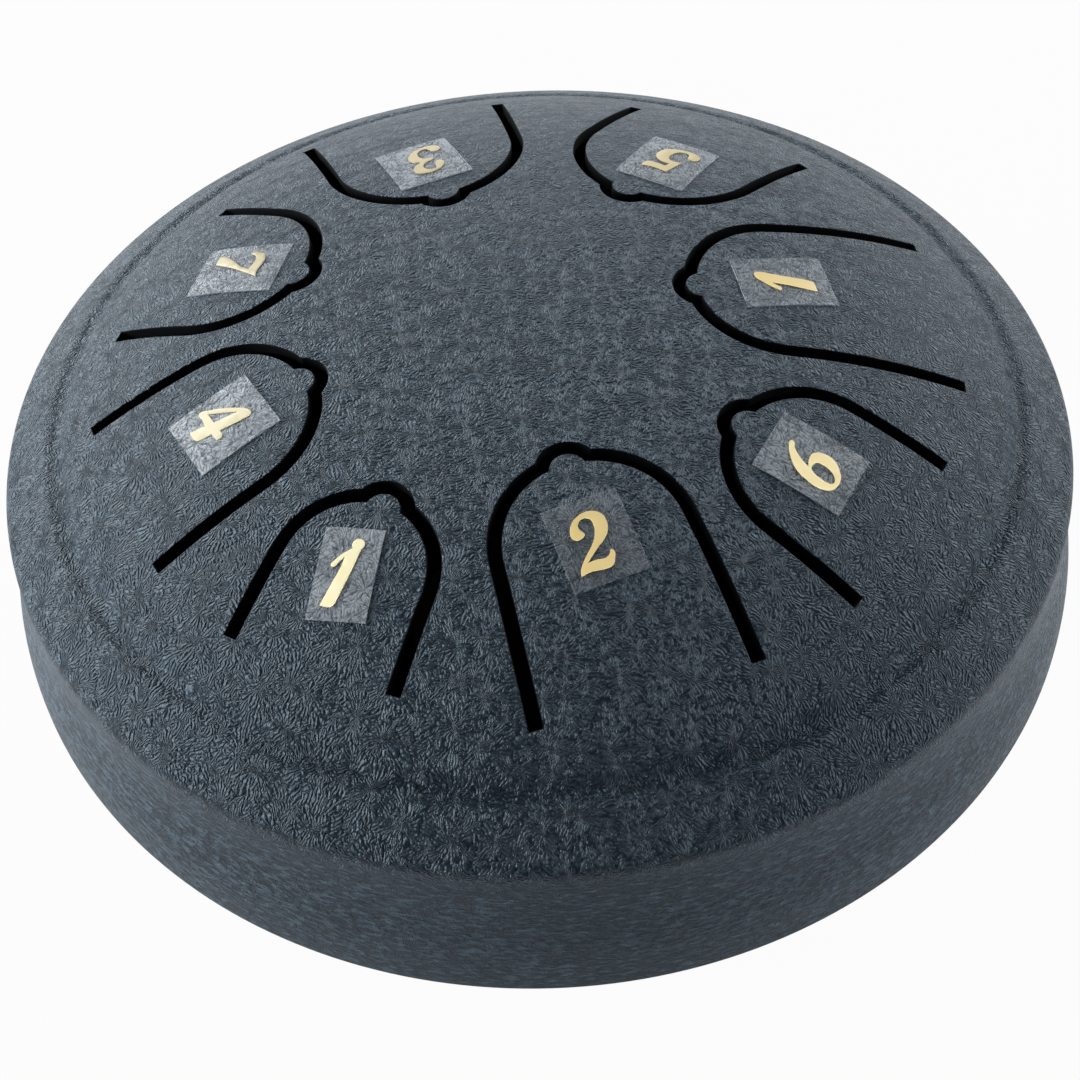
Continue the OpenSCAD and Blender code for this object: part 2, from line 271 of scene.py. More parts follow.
class Dome:
    """The outer face of the dome, up to the groove, as a section of two bends."""

    def __init__(self, s):
        self.crown, self.edge = s.crown_bend, s.crown_edge
        self.top = s.shoulder_height + s.dome_rise
        self.crown_turn = math.asin(self.edge / self.crown)
        drop = s.dome_rise - self.crown * (1 - math.cos(self.crown_turn)) - s.shoulder_bend / 2
        run = s.shoulder_radius - self.edge - s.shoulder_bend / 2
        end = 2 * math.atan(drop / run) - self.crown_turn
        self.flank = run / (math.sin(end) - math.sin(self.crown_turn))
        self.flank_middle = (Vector((0, self.top - self.crown))
                             + (self.crown - self.flank) * normal(self.crown_turn))

    def turn_at(self, r):
        if r <= self.edge:
            return math.asin(r / self.crown)
        return math.asin(math.sin(self.crown_turn) + (r - self.edge) / self.flank)

    def at(self, r):
        turn = self.turn_at(r)
        if r <= self.edge:
            return Vector((0, self.top - self.crown)) + self.crown * normal(turn), turn
        return self.flank_middle + self.flank * normal(turn), turn


def object_mode():
    if bpy.context.object and bpy.context.object.mode != "OBJECT":
        bpy.ops.object.mode_set(mode="OBJECT")


def select_nothing():
    object_mode()
    bpy.ops.object.select_all(action="DESELECT")


def only(piece):
    """Selects one object and nothing else."""
    select_nothing()
    piece.select_set(True)
    bpy.context.view_layer.objects.active = piece


def edit(piece, kind="VERT"):
    """Goes into edit mode with the whole piece selected."""
    only(piece)
    bpy.ops.object.mode_set(mode="EDIT")
    bpy.ops.mesh.select_mode(type=kind)
    bpy.ops.mesh.select_all(action="SELECT")


def choose(piece, kind, test):
    """Goes into edit mode with only the points or faces selected that pass the test."""
    edit(piece, kind)
    bpy.ops.mesh.select_all(action="DESELECT")
    object_mode()
    for item in piece.data.vertices if kind == "VERT" else piece.data.polygons:
        item.select = test(item)
    bpy.ops.object.mode_set(mode="EDIT")


def settle(piece):
    """Puts the place, turn and size of an object into its mesh."""
    only(piece)
    bpy.ops.object.transform_apply(location=True, rotation=True, scale=True)
    return piece


def place(piece, where, turn):
    piece.location = where
    piece.rotation_euler = (0, 0, turn)
    return settle(piece)


def named(piece, name):
    piece.name = name
    piece.data.name = name
    return piece


def added(name):
    """Names the object that the last operator has added."""
    return named(bpy.context.object, name)


def finish_modifier(piece, kind, name, **values):
    only(piece)
    modifier = piece.modifiers.new(name, kind)
    for key, value in values.items():
        setattr(modifier, key, value)
    bpy.ops.object.modifier_apply(modifier=name)


def cut_away(piece, cutter, operation="DIFFERENCE"):
    """Takes the cutter's space out of the piece, or leaves only what lies in both."""
    finish_modifier(piece, "BOOLEAN", "cut", operation=operation, object=cutter, solver="EXACT")
    bpy.data.objects.remove(cutter, do_unlink=True)


def merge_doubles(piece, within):
    """Merges the points that lie on one another, so that no seam is open and each face has area."""
    edit(piece)
    bpy.ops.mesh.remove_doubles(threshold=within)
    object_mode()


def join_into(piece, others):
    only(piece)
    for other in others:
        other.select_set(True)
    bpy.ops.object.join()
    return piece


def copy_of(piece, name):
    only(piece)
    bpy.ops.object.duplicate(linked=False)
    return added(name)


def start_at(name, *where):
    """A single point, in edit mode, from which an outline is drawn."""
    select_nothing()
    bpy.ops.mesh.primitive_plane_add(size=0.01, location=where)
    piece = added(name)
    edit(piece)
    bpy.ops.mesh.merge(type="CENTER")
    settle(piece)
    edit(piece)
    return piece


def extrude(x, y, z):
    bpy.ops.mesh.extrude_region_move(TRANSFORM_OT_translate={"value": (x, y, z)})


def draw_runs(*runs):
    """Draws on in the plane of X and Z by straight runs (outwards, upwards)."""
    for out, up in runs:
        extrude(out, 0, up)


def draw_bend(middle, turn, reach, spacing):
    """Draws on round a middle. The spin operator counts its angle the other way round."""
    steps = max(1, math.ceil(abs(turn) / COARSEST_TURN), math.ceil(abs(turn) * reach / spacing))
    bpy.ops.mesh.spin(steps=steps, dupli=False, angle=-turn,
                      center=(middle.x, 0, middle.y), axis=(0, 1, 0))


def draw_chain(point, turn, bends):
    """Draws a chain of bends (radius, end turn, straight run) and gives the way back for the
    inner face."""
    way = []
    for radius, end, run in bends:
        middle = point - radius * normal(turn)
        draw_bend(middle, end - turn, abs(radius), OUTER_SPACING)
        point = middle + radius * normal(end)
        if run > 0:
            step = run * onward(end)
            draw_runs(step)
            point = point + step
        way.append((middle, turn, end, run, abs(radius)))
        turn = end
    return point, turn, way


def draw_back(way):
    for middle, turn, end, run, reach in reversed(way):
        if run > 0:
            draw_runs(-run * onward(end))
        draw_bend(middle, turn - end, reach, INNER_SPACING)


def round_corners(piece, corners, width, segments=3):
    """Rounds the corners of an outline that lie at the given places."""
    choose(piece, "VERT", lambda vertex: any(
        (Vector((vertex.co.x, vertex.co.z)) - corner).length < 0.02 * MM for corner in corners))
    bpy.ops.mesh.bevel(offset=width, offset_type="OFFSET", segments=segments, affect="VERTICES")


def face_out(piece):
    edit(piece)
    bpy.ops.mesh.normals_make_consistent(inside=False)
    object_mode()


def spin_round(piece, segments):
    """Spins an outline all the way round the upright axis and closes the seam."""
    edit(piece)
    bpy.ops.mesh.spin(steps=segments, dupli=False, angle=2 * math.pi, center=(0, 0, 0),
                      axis=(0, 0, 1))
    merge_doubles(piece, 0.002 * MM)
    face_out(piece)


def cut_fields(count, spacing):
    """Cuts the piece in edit mode into square fields, so that it can follow the dome. The cuts
    lie off the middle, where they would meet points that are there already."""
    for i in range(-count, count + 1):
        for way in ((1, 0, 0), (0, 1, 0)):
            bpy.ops.mesh.select_all(action="SELECT")
            at = (i + 0.37) * spacing
            bpy.ops.mesh.bisect(plane_co=(at * way[0], at * way[1], 0), plane_no=way,
                                threshold=0.0005 * MM)


def smooth(piece, degrees, weighted=True):
    """Shades all but the sharp edges smooth, and evens the shade of large and small faces."""
    only(piece)
    bpy.ops.object.shade_smooth_by_angle(angle=math.radians(degrees))
    if weighted:
        finish_modifier(piece, "WEIGHTED_NORMAL", "even shading", mode="FACE_AREA",
                        weight=50, keep_sharp=True)


def mark_inside(piece, is_inside):
    """Marks the faces that take the second material. The marks need two material slots to last
    through a join, so the piece gets two empty materials until it is dressed."""
    if len(piece.data.materials) < 2:
        for name in ("outside", "inside"):
            piece.data.materials.append(bpy.data.materials.get(name)
                                        or bpy.data.materials.new(name))
    for face in piece.data.polygons:
        face.material_index = 1 if is_inside(face) else 0


def turned_in(face):
    """True for a spun face that looks towards the inside of the drum."""
    way = Vector((face.center.x, face.center.y, face.center.z - DRUM_MIDDLE))
    return face.normal.dot(way.normalized()) < -0.25


def press_on_dome(piece, dome):
    """Presses a flat piece into the dome. Its height above the floor plane becomes its height
    above the outer face, square to the face."""
    for vertex in piece.data.vertices:
        r = math.hypot(vertex.co.x, vertex.co.y)
        point, turn = dome.at(r)
        point = point + vertex.co.z * normal(turn)
        share = point.x / r if r > 1e-9 else 1.0
        vertex.co = (vertex.co.x * share, vertex.co.y * share, point.y)
    piece.data.update()


def dress(piece, material, *nodes, slot, inside=None):
    """Gives a piece its material and its place in the frame. The faces marked with 1 take the
    material for the inside."""
    marks = [face.material_index for face in piece.data.polygons]
    piece.data.materials.clear()
    piece.data.materials.append(material)
    if inside:
        piece.data.materials.append(inside)
        piece.data.polygons.foreach_set("material_index", marks)
    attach(piece, "root")
    if nodes:
        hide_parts(*nodes)


# Materials
class Signal:
    """An output of a node. Values can be added, taken away, multiplied and divided."""

    def __init__(self, nodes, socket):
        self.nodes, self.socket = nodes, socket

    def of(self, name):
        """Another output of the same node."""
        return Signal(self.nodes, self.socket.node.outputs[name])

    def __add__(self, other):
        return self.nodes.math("ADD", self, other)

    def __sub__(self, other):
        return self.nodes.math("SUBTRACT", self, other)

    def __rsub__(self, other):
        return self.nodes.math("SUBTRACT", other, self)

    def __mul__(self, other):
        return self.nodes.math("MULTIPLY", self, other)

    def __truediv__(self, other):
        return self.nodes.math("DIVIDE", self, other)


class Nodes:
    """A node tree under construction."""

    def __init__(self, tree, output):
        self.tree = tree
        self.tree.nodes.clear()
        self.output = self.tree.nodes.new(output)

    def node(self, kind, result=0, feeds=None, **settings):
        """Adds a node with its settings, feeds its inputs and gives one of its outputs."""
        node = self.tree.nodes.new("ShaderNode" + kind)
        for key, value in settings.items():
            setattr(node, key, value)
        for key, value in (feeds or {}).items():
            self.feed(node.inputs[key], value)
        return Signal(self, node.outputs[result])

    def feed(self, socket, value):
        if isinstance(value, Signal):
            self.tree.links.new(value.socket, socket)
        else:
            socket.default_value = value

    def math(self, operation, a, b=0.0):
        return self.node("Math", feeds={0: a, 1: b}, operation=operation)

    def vector(self, operation, a, b=(0.0, 0.0, 0.0)):
        measures = operation == "LENGTH"
        return self.node("VectorMath", "Value" if measures else "Vector", {0: a, 1: b},
                         operation=operation)

    def scaled(self, a, scale):
        return self.node("VectorMath", feeds={0: a, "Scale": scale}, operation="SCALE")

    def level(self, where):
        """A place without its height."""
        return self.vector("MULTIPLY", where, (1.0, 1.0, 0.0))

    def place(self):
        return self.node("TexCoord", "Object")

    def noise(self, where, scale, detail=2.0, roughness=0.5, result="Fac"):
        return self.node("TexNoise", result, {"Vector": where, "Scale": scale, "Detail": detail,
                                              "Roughness": roughness})

    def range(self, value, low, high, to_low=0.0, to_high=1.0, easing="LINEAR"):
        return self.node("MapRange", feeds={
            "Value": value, "From Min": low, "From Max": high, "To Min": to_low,
            "To Max": to_high}, interpolation_type=easing)

    def stirred(self, where, scale, roughness, by):
        """A place that is moved about a little by noise."""
        stir = self.vector("SUBTRACT", self.noise(where, scale, 3.0, roughness, "Color"),
                           (0.5, 0.5, 0.5))
        return self.vector("ADD", where, self.scaled(stir, by))

    def cells(self, where, scale, feature):
        return self.node("TexVoronoi", feeds={"Vector": where, "Scale": scale}, feature=feature,
                         voronoi_dimensions="2D")

    def mix(self, share, a, b):
        return self.node("Mix", 2, {0: share, 6: (*a, 1.0), 7: (*b, 1.0)}, data_type="RGBA")

    def seen(self):
        """1 for what the camera sees itself or through something clear, and 0 for other light."""
        path = self.node("LightPath", "Is Camera Ray")
        return self.math("MAXIMUM", path, path.of("Is Transmission Ray"))


class Shader(Nodes):
    """The node tree of a material with one surface."""

    def __init__(self, name):
        self.material = bpy.data.materials.new(name)
        self.material.use_nodes = True
        super().__init__(self.material.node_tree, "ShaderNodeOutputMaterial")
        self.surface = self.node("BsdfPrincipled")
        self.feed(self.output.inputs["Surface"], self.surface)

    def set(self, **values):
        for key, value in values.items():
            self.feed(self.surface.socket.node.inputs[key.replace("_", " ")], value)

    def bump(self, height, distance=1.0):
        self.set(Normal=self.node("Bump", feeds={"Strength": 1.0, "Distance": distance,
                                                 "Height": height}))


def unrolled(shader, fold_height, sign):
    """Lays the shell's face out flat, so that the coat isn't stretched on the wall: the place
    seen from above, moved outwards by the height along the wall."""
    parts = shader.node("SeparateXYZ", feeds={0: shader.place()})
    flat = shader.node("CombineXYZ", feeds={0: parts, 1: parts.of(1)})
    wall = shader.math("MAXIMUM", (fold_height - parts.of(2)) * sign, 0.0)
    grow = wall / shader.math("MAXIMUM", shader.vector("LENGTH", flat), 1 * MM) + 1.0
    return shader.scaled(flat, grow)


def frost_flowers(shader, flat, looks):
    """Two layers of frost flowers of different sizes, each showing through the gaps in the
    other, so that the streaks break off and change their way."""
    large = frost_layer(shader, flat, looks, looks.flower)
    aside = shader.vector("ADD", flat, (0.0137, -0.0211, 0.0))
    small = frost_layer(shader, aside, looks, looks.flower * 0.62)
    share = shader.range(shader.noise(flat, 600.0, 2.0, 0.6), 0.51, 0.58)
    return large[0] * (1.0 - share) + small[0] * share, *large[1:]


def frost_layer(shader, flat, looks, size):
    """One layer of frost flowers. Fine ridges run out from the middle of each flower in rings,
    bend a little on their way, and taper where the next ring starts. Gives the ridges, the
    swell of the flowers, the creases between them and the dark arms of their stars, each from
    0 to 1, and the distance from the middle of the flower."""
    rung = looks.streak_length
    shaken = shader.level(shader.stirred(flat, 300.0, 0.6, 2.5 * MM))
    cells = shader.cells(shaken, 1.0 / size, "F1")
    edges = shader.cells(shaken, 1.0 / size, "DISTANCE_TO_EDGE")
    away = shader.level(shader.vector("SUBTRACT", shaken, cells.of("Position")))
    reach = shader.vector("LENGTH", away)
    parts = shader.node("SeparateXYZ", feeds={0: away})
    turn = shader.math("ARCTAN2", parts.of(1), parts)
    # Each flower's rings have an uneven edge of their own
    ragged = shader.noise(shader.vector(
        "ADD", shader.scaled(shader.vector("NORMALIZE", away), 2.6),
        shader.scaled(cells.of("Color"), 11.0)), 1.0, 0.0)
    steps = reach / rung + ragged * 1.7
    ring = shader.math("FLOOR", steps)
    along = shader.math("FRACT", steps)
    # A whole number of streaks in each ring, about a streak's width apart
    count = shader.math("FLOOR", shader.math("MAXIMUM", ring, 0.8)
                        * (2 * math.pi * rung / looks.streak))
    bend = shader.noise(flat, 1000.0, 1.0, 0.5) * looks.bend
    wave = shader.math("COSINE", turn * count + (bend + ring * 2.3)) * 0.5 + 0.5
    taper = shader.range(shader.math("MINIMUM", along, 1.0 - along), 0.0, 0.18)
    faint = shader.range(shader.noise(flat, 1100.0, 2.0, 0.6), 0.36, 0.60, 0.30, 1.0)
    ridges = shader.math("POWER", wave, 0.65) * taper * faint
    swell = shader.range(reach, 0.0, 0.75 * size, 1.0, 0.0, easing="SMOOTHSTEP")
    creases = shader.range(edges, 0.0, 0.10, easing="SMOOTHSTEP")
    star = shader.math("COSINE", turn * 7.0 + bend * 0.5)
    arms = shader.range(star, 0.72, 1.0) * shader.range(reach, 0.5 * MM, 1.9 * MM, 1.0, 0.0)
    return ridges, swell, creases, arms, reach


def frost_coat(name, looks, fold_height, sign):
    """Dark slate powder coat whose surface has frozen into frost flowers. On the wall it has run
    into short flecks that lie round the drum."""
    shader = Shader(name)
    flat = unrolled(shader, fold_height, sign)
    ridges, swell, creases, arms, reach = frost_flowers(shader, flat, looks)
    fine = shader.noise(flat, 3200.0, 2.0, 0.6)
    # Painted shade: hollows between ridges, creases and star arms are painted darker over the bump
    cover_and_painted_shade = ridges * shader.range(shader.noise(flat, 240.0, 3.0, 0.6), 0.3, 0.7, 0.75, 1.15)
    cover_and_painted_shade = cover_and_painted_shade * shader.range(shader.noise(flat, 650.0, 3.0, 0.65), 0.36, 0.64, 0.45, 1.35)
    cover_and_painted_shade = cover_and_painted_shade + shader.range(reach, 0.0, 0.45 * MM, 0.22, 0.0)
    cover_and_painted_shade = cover_and_painted_shade * shader.range(creases, 0.0, 1.0, 0.80, 1.0)
    cover_and_painted_shade = cover_and_painted_shade * shader.range(arms, 0.0, 1.0, 1.0, 0.15)
    cover_and_painted_shade = cover_and_painted_shade + shader.range(fine, 0.3, 0.7, -0.20, 0.22)
    place = shader.place()
    up = shader.node("SeparateXYZ", 2, {0: place})
    wall = shader.range(up, fold_height - 3.4 * MM, fold_height - 1.4 * MM, 0.90, 0.0)
    squeezed = shader.vector("MULTIPLY", place, (1.0, 1.0, looks.squeeze))
    flecks = shader.range(shader.noise(squeezed, 640.0, 4.0, 0.68), 0.42, 0.58, -0.15, 1.30)
    cover_and_painted_shade = cover_and_painted_shade * (1.0 - wall) + flecks * wall
    height = (ridges * looks.relief + swell * (0.08 * MM) + creases * (0.02 * MM)
              + arms * (-0.14 * MM) + fine * (0.018 * MM))
    height = height * (1.0 - wall * 0.7) + flecks * wall * (0.16 * MM)
    shader.set(Base_Color=shader.mix(cover_and_painted_shade, looks.dark, looks.pale), Roughness=looks.roughness,
               Metallic=0.0, IOR=1.5, Specular_IOR_Level=looks.sheen,
               Specular_Tint=(0.66, 0.85, 1.0, 1.0))
    shader.bump(height)
    return shader.material


def inside_coat_and_shade():
    """The thin plain coat inside the shells and on the walls of the slots. Its near black is
    partly its own colour and partly painted shade of the drum's inside and the slots.
    """
    shader = Shader("inside_coat_and_shade")
    grain = shader.noise(shader.place(), 900.0, 3.0, 0.6)
    # Painted shade: the very dark colour stands in part for the shade inside the drum
    shader.set(Base_Color=shader.mix(grain, (0.0015, 0.0020, 0.0028), (0.006, 0.0075, 0.0095)),
               Roughness=0.8, Specular_IOR_Level=0.12)
    shader.bump(grain, 0.03 * MM)
    return shader.material


def film_material(name, looks, coat, fold_height, haze_and_painted_reflection):
    """Clear adhesive film. Its milky colour is partly its own frost and partly painted reflection
    where it would catch the light, and the coat's ridges press through it as fine dark lines."""
    shader = Shader(name)
    flat = unrolled(shader, fold_height, 1.0)
    ridges, _, _, arms, _ = frost_flowers(shader, flat, coat)
    crackle = shader.cells(shader.stirred(flat, 1200.0, 0.65, 1.9 * MM), 850.0,
                           "DISTANCE_TO_EDGE")
    broken = shader.range(shader.noise(flat, 640.0, 1.0), 0.42, 0.58)
    pressed = shader.math("MAXIMUM", broken, shader.range(crackle, 0.0, 0.14,
                                                          easing="SMOOTHSTEP"))
    patches = (shader.range(shader.noise(flat, 330.0, 3.0, 0.6), 0.34, 0.64, 0.45, 1.25)
               * shader.range(shader.noise(flat, 120.0, 1.0), 0.35, 0.65, 0.80, 1.10))
    fine = shader.noise(flat, 2300.0, 2.0, 0.6)
    # Painted reflection: the film is painted milky, most on the ridges and on labels facing light
    milk_and_painted_reflection = (shader.range(ridges, 0.0, 0.6, 0.30, 1.15)
            * shader.range(pressed, 0.0, 1.0, 0.30, 1.0) * patches
            * shader.range(arms, 0.0, 0.6, 1.0, 0.04) * shader.range(fine, 0.3, 0.7, 0.82, 1.18))
    shader.set(Base_Color=(*looks.film_colour, 1.0), Roughness=0.30, IOR=1.46,
               Alpha=shader.range(milk_and_painted_reflection, 0.0, 1.0, haze_and_painted_reflection * 0.06 + 0.01, haze_and_painted_reflection * 1.20))
    shader.bump(ridges * (0.03 * MM) + pressed * (0.04 * MM) + fine * (0.012 * MM))
    return shader.material


def film_edge_material():
    """The cut edge of the films, with painted highlights in patches where it would catch light."""
    shader = Shader("film_edge_painted_glint")
    # Painted highlight: the noise picks the patches of pale, nearly opaque edge
    glint = shader.noise(shader.place(), 420.0, 3.0, 0.7)
    shader.set(Base_Color=(0.78, 0.83, 0.88, 1.0), Roughness=0.25,
               Alpha=shader.range(glint, 0.40, 0.60, 0.15, 0.95))
    return shader.material


def gold_material(name, looks, paleness_and_painted_highlight, brightness_and_painted_light):
    """Printed gold: a satin ink with a slight grain, a little deeper where it is worn."""
    shader = Shader(name)
    # Paleness and brightness paint each number's highlight and shade into its colour
    tint = [brightness_and_painted_light * (a + (b - a) * paleness_and_painted_highlight) for a, b in zip(looks.gold, looks.pale_gold_and_highlight)]
    deep = [value * share for value, share in zip(tint, (0.96, 0.94, 0.86))]
    place = shader.place()
    wear = shader.range(shader.noise(place, 300.0, 2.0, 0.5), 0.35, 0.65)
    shader.set(Base_Color=shader.mix(wear, deep, tint), Roughness=0.36, Specular_IOR_Level=0.8)
    shader.bump(shader.noise(place, 2400.0, 2.0, 0.6), 0.006 * MM)
    return shader.material


def rubber_material():
    """Black moulded rubber with a little dust in its grain."""
    shader = Shader("foot_rubber")
    place = shader.place()
    dust = shader.range(shader.noise(place, 160.0, 4.0, 0.6), 0.45, 0.75)
    shader.set(Base_Color=shader.mix(dust, (0.014, 0.014, 0.015), (0.045, 0.044, 0.042)),
               Roughness=0.72)
    shader.bump(shader.noise(place, 1500.0, 3.0, 0.6), 0.03 * MM)
    return shader.material


def plated_material():
    """Bright zinc plating with turned lines and a faint blue cast."""
    shader = Shader("zinc_plating")
    place = shader.place()
    lines = shader.noise(shader.vector("MULTIPLY", place, (1.0, 1.0, 14.0)), 900.0, 2.0, 0.5)
    stain = shader.range(shader.noise(place, 260.0, 3.0, 0.6), 0.35, 0.7)
    shader.set(Base_Color=shader.mix(stain, (0.60, 0.62, 0.64), (0.66, 0.64, 0.56)),
               Roughness=shader.range(lines, 0.3, 0.7, 0.24, 0.42), Metallic=1.0)
    shader.bump(lines, 0.008 * MM)
    return shader.material


class DrumOperator(bpy.types.Operator):
    """What all operators of the drum have in common."""
    bl_options = {"REGISTER", "UNDO"}


def slot_cutter(name, slot, tongue):
    """One slot as a solid: its outline is drawn round the tongue in plan, filled and raised."""
    _, tip_turn, lean, tip, arch, legs = tongue
    flare, half = slot.leg_flare, slot.width / 2
    arch, legs, tip = arch * MM, legs * MM, tip * MM
    run = (legs + arch * math.sin(flare)) / math.cos(flare) + half
    middle, nub = Vector((0, 0)), Vector((slot.nub_radius - arch - slot.nub_height, 0))
    away = direction(flare)
    side = across(away)
    first = (arch + half) * side + run * away
    piece = start_at(name, first.x, first.y, 0)

    def swing(centre, turn, radius):
        steps = max(2, math.ceil(abs(turn) * radius / SLOT_SPACING))
        bpy.ops.mesh.spin(steps=steps, dupli=False, angle=-turn,
                          center=(centre.x, centre.y, 0), axis=(0, 0, 1))

    # Once round along the outer side of the slot, and back along its inner side
    for way, grow in ((1, half), (-1, -half)):
        big, small = arch + grow, slot.nub_radius + grow
        gap = nub.length
        cross_x = -(big ** 2 - small ** 2 + gap ** 2) / (2 * gap)
        cross_y = math.sqrt(big ** 2 - cross_x ** 2)
        on_arch = math.atan2(cross_y, cross_x) - (UPRIGHT + flare)
        on_nub = 2 * (math.pi - math.atan2(cross_y, cross_x - nub.x))
        if way == 1:
            extrude(*(-run * away), 0)
        else:
            extrude(-run * away.x, run * away.y, 0)
        swing(middle, way * on_arch, big)
        swing(nub, way * on_nub, small)
        swing(middle, way * on_arch, big)
        if way == 1:
            extrude(run * away.x, -run * away.y, 0)
            # The slot ends square
            extrude(-2 * half * side.x, 2 * half * side.y, 0)
        else:
            extrude(*(run * away), 0)
    bpy.ops.mesh.select_all(action="SELECT")
    bpy.ops.mesh.edge_face_add()
    extrude(0, 0, 2 * SLOT_REACH)
    face_out(piece)
    turn = math.radians(tip_turn + lean)
    at = (tip * direction(math.radians(tip_turn))
          + (arch + slot.nub_height) * direction(turn))
    return place(piece, (at.x, at.y, -SLOT_REACH), turn)


def shell_outline(name, s, dome, start_radius):
    """The outer part of the top shell, from the plate to the lip and back along its inner face."""
    groove_radius = s.shoulder_radius - s.groove_set_in
    half = (s.groove_edge_bend + s.groove_floor_bend) * math.sin(s.groove_slope)
    groove_turn = dome.turn_at(groove_radius - half)
    start, turn = dome.at(start_radius)
    piece = start_at(name, start.x, 0, start.y)
    # The rim goes on until the shoulder's bend can finish it at the shoulder's radius
    radius = groove_radius - half + 2 * half * math.cos(groove_turn)
    rim = groove_turn
    step = math.radians(1.0)
    while True:
        reach = radius + dome.flank * (math.sin(rim + step) - math.sin(rim))
        if reach + s.shoulder_bend * (1 - math.sin(rim + step)) >= s.shoulder_radius:
            break
        radius, rim = reach, rim + step
    left = (s.shoulder_radius - radius - s.shoulder_bend * (1 - math.sin(rim))) / math.cos(rim)
    flare = flare_bend(s)
    point, turn, way = draw_chain(start, turn, [
        (dome.flank, groove_turn, 0.0),
        (s.groove_edge_bend, groove_turn + s.groove_slope, 0.0),
        (-s.groove_floor_bend, groove_turn - s.groove_slope, 0.0),
        (s.groove_edge_bend, groove_turn, 0.0),
        (dome.flank, rim, left),
        (s.shoulder_bend, UPRIGHT, s.skirt_straight),
        (-flare, UPRIGHT - s.flare_slope, 0.0),
        (flare, UPRIGHT, s.belt_straight),
        (s.lip_bend, UPRIGHT + s.lip_curl, 0.0),
    ])
    inward = -s.sheet * normal(turn)
    draw_runs(inward)
    draw_back(way)
    round_corners(piece, [point, point + inward], s.edge_round)
    return piece


class DRUM_OT_top_shell(DrumOperator):
    """Cuts the tongues in a flat plate, presses it into the dome and spins the skirt onto it"""
    bl_idname = "drum.top_shell"
    bl_label = "Top shell"

    def execute(self, context):
        s, slot = context.scene.drum_shell, context.scene.drum_slots
        dome, edge = Dome(s), slot.plate_radius
        select_nothing()
        bpy.ops.mesh.primitive_circle_add(vertices=s.segments, radius=edge, fill_type="NGON",
                                          location=(0, 0, 0))
        plate = added("drum_top")
        edit(plate, "FACE")
        bpy.ops.mesh.inset(thickness=PLATE_MARGIN)
        bpy.ops.mesh.select_all(action="SELECT")
        extrude(0, 0, -s.sheet)
        face_out(plate)
        cutters = [slot_cutter(f"slot_{i}", slot, tongue) for i, tongue in enumerate(TONGUES)]
        cut_away(plate, join_into(cutters[0], cutters[1:]))
        # The plate's own rim goes, so that it can be joined to the skirt
        choose(plate, "FACE", lambda face: abs(face.normal.z) < 0.5
               and math.hypot(*face.center.xy) > edge - 0.1 * MM)
        bpy.ops.mesh.delete(type="FACE")
        object_mode()
        finish_modifier(plate, "BEVEL", "coated edges", width=s.edge_round, segments=3,
                        limit_method="ANGLE", angle_limit=math.radians(60),
                        use_clamp_overlap=False)
        # The ring of faces along the plate's edge stays whole, so that it meets the skirt
        choose(plate, "FACE", lambda face: math.hypot(*face.center.xy) > edge - 0.75 * MM)
        bpy.ops.mesh.hide(unselected=False)
        cut_fields(int(edge / slot.grid), slot.grid)
        bpy.ops.mesh.reveal(select=False)
        object_mode()
        mark_inside(plate, lambda face: face.center.z < -0.3 * s.edge_round)
        press_on_dome(plate, dome)
        skirt = shell_outline("skirt", s, dome, edge)
        spin_round(skirt, s.segments)
        mark_inside(skirt, turned_in)
        join_into(plate, [skirt])
        merge_doubles(plate, 0.004 * MM)
        face_out(plate)
        smooth(plate, 38)
        coat = frost_coat("frost_coat_top", context.scene.drum_coat, s.shoulder_height + ABOVE_FOLD,
                          1.0)
        dress(plate, coat, "top_shell", slot="coated_steel", inside=inside_coat_and_shade())
        return {"FINISHED"}


